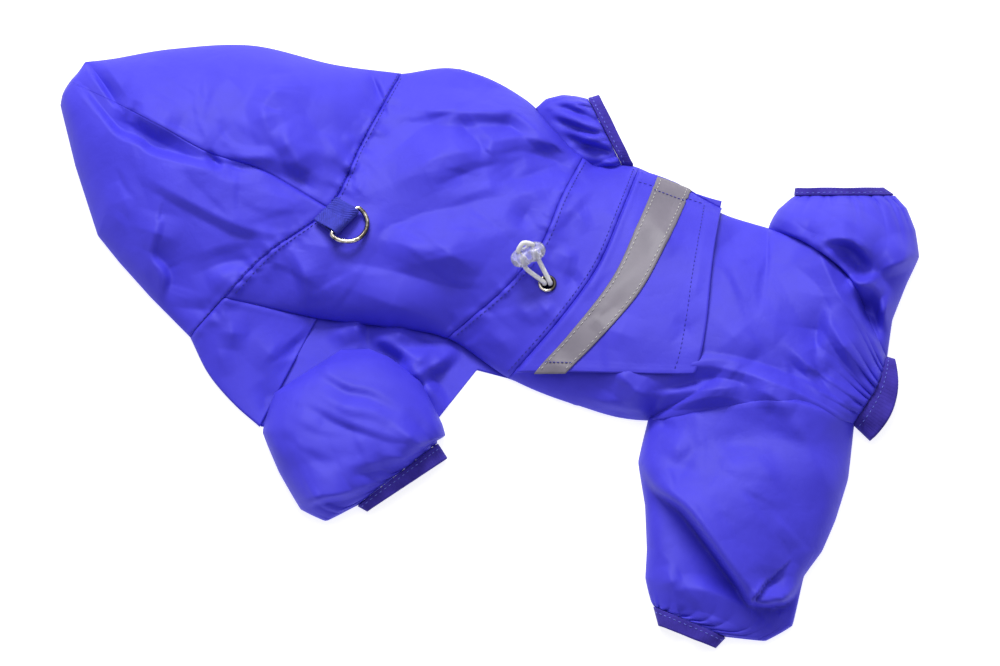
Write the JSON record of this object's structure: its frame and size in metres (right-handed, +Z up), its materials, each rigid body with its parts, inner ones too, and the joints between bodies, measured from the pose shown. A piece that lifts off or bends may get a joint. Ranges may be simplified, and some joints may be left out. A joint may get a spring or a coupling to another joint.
{
  "type": "dog raincoat",
  "caption": "Hooded dog raincoat with legs in thin coated nylon, laid flat with its back up, with a reflective tape, a waist drawcord with a toggle and a leash ring.",
  "frame": {"origin": "centre of the coat's footprint, on the table it lies on, without the free drawcord and its toggle", "axes": "+Z up off the table, -X towards the hood's front point, +X towards the tail, -Y towards the near rear leg"},
  "size_m": [0.5172, 0.4016, 0.0507],
  "materials": {
    "nylon": "smooth coated nylon with a soft sheen",
    "elastic": "ribbed knit elastic",
    "webbing": "twill webbing",
    "tape": "grey reflective tape",
    "steel": "nickel-plated steel",
    "clear_plastic": "clear moulded plastic",
    "cord": "white braided elastic cord"
  },
  "bodies": {
    "garment": {"hood_panel_far": "nylon", "hood_panel_near": "nylon", "back_panel": "nylon", "waist_casing": "nylon", "rump_panel": "nylon", "chest_panel": "nylon", "belly_panel": "nylon", "front_leg_near": "nylon", "front_leg_far": "nylon", "rear_leg_near": "nylon", "rear_leg_far": "nylon", "front_cuff_near": "elastic", "front_cuff_far": "elastic", "rear_cuff_near": "elastic", "rear_cuff_far": "elastic", "tail_band": "elastic", "back_flap": "nylon", "reflective_tape": "tape", "webbing_loop": "webbing", "eyelet": "steel", "toggle": "clear_plastic", "drawcord": "cord"},
    "ring": {"d_ring": "steel"}
  },
  "joints": [
    {"name": "ring_swing", "type": "hinge", "parent": "garment", "child": "ring", "pos_m": [-0.08777, 0.06758, 0.03391], "axis": [-0.6712, -0.7413, 0], "range_deg": [0, 160]}
  ]
}
